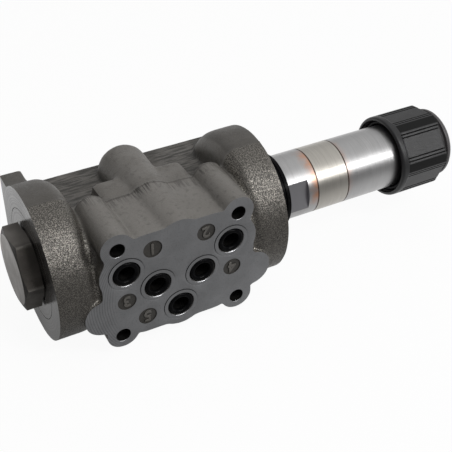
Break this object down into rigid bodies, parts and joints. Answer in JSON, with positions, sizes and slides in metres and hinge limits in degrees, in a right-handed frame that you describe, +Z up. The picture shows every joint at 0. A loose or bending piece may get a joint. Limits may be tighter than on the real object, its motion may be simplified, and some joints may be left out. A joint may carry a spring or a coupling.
{
  "type": "hydraulic control valve",
  "caption": "Solenoid directional control valve with a flanged cast body, milled port face, hexagon end plug, bare solenoid tube and black coil nut; the coil is taken off.",
  "frame": {"origin": "centre of the mounting bolt pattern, in the plane of the port face", "axes": "+X along the spool axis towards the coil nut, -Y out of the port face, +Z up across the valve as pictured, lying on its round flanges"},
  "size_m": [0.2191, 0.0687, 0.068],
  "materials": {
    "cast_body": "bare cast skin, dark warm grey, with milled port face and turned ends",
    "ground_steel": "hardened and ground",
    "zinc_steel": "zinc plated",
    "spring_steel": "drawn spring wire",
    "phosphated_steel": "phosphated, dark grey-brown",
    "tube_steel": "bright turned and brushed",
    "nonmagnetic_steel": "bright turned stainless, slightly warmer",
    "soft_iron": "turned soft iron",
    "braze": "copper braze, reddish brown",
    "brass": "stamped sheet",
    "rubber": "satin black",
    "black_plastic": "moulded, satin black"
  },
  "bodies": {
    "valve": {"valve_body": "cast_body", "return_spring": "spring_steel", "end_plug": "phosphated_steel", "end_plug_seal": "rubber", "pole_core": "tube_steel", "core_seal": "rubber", "base_seal": "rubber", "braze_ring_inner": "braze", "nonmagnetic_ring": "nonmagnetic_steel", "braze_ring_outer": "braze", "armature_tube": "tube_steel", "tube_end_plug": "tube_steel", "override_seal": "rubber", "port_seal_p": "rubber", "port_seal_a": "rubber", "port_seal_b": "rubber", "port_seal_t1": "rubber", "port_seal_t2": "rubber"},
    "spool": {"spool": "ground_steel", "spring_seat": "zinc_steel"},
    "push_pin": {"push_pin": "ground_steel"},
    "armature": {"armature": "soft_iron", "air_gap_washer": "brass"},
    "override_pin": {"override_pin": "ground_steel", "override_clip": "spring_steel"},
    "nut_carrier": {"nut_seal": "rubber"},
    "nut": {"coil_nut": "black_plastic"}
  },
  "joints": [
    {"name": "spool_slide", "type": "slide", "parent": "valve", "child": "spool", "axis": [-1, 0, 0], "range_m": [0, 0.006], "stiffness_N_per_m": 5000, "springref_m": -0.006, "deforming": ["return_spring"]},
    {"name": "push_pin_slide", "type": "slide", "parent": "valve", "child": "push_pin", "axis": [-1, 0, 0], "range_m": [0, 0.006]},
    {"name": "armature_slide", "type": "slide", "parent": "valve", "child": "armature", "axis": [-1, 0, 0], "range_m": [0, 0.006]},
    {"name": "override_slide", "type": "slide", "parent": "valve", "child": "override_pin", "axis": [-1, 0, 0], "range_m": [0, 0.006]},
    {"name": "nut_travel", "type": "slide", "parent": "valve", "child": "nut_carrier", "axis": [1, 0, 0], "range_m": [0, 0.015]},
    {"name": "nut_turn", "type": "hinge", "parent": "nut_carrier", "child": "nut", "pos_m": [0.13, 0.035, 0], "axis": [1, 0, 0], "range_deg": [0, 3600]}
  ],
  "couplings": [
    {"joint": "push_pin_slide", "follows": "spool_slide", "ratio": 1},
    {"joint": "armature_slide", "follows": "spool_slide", "ratio": 1},
    {"joint": "override_slide", "follows": "spool_slide", "ratio": 1},
    {"joint": "nut_travel", "follows": "nut_turn", "m_per_rad": 0.0002387}
  ]
}
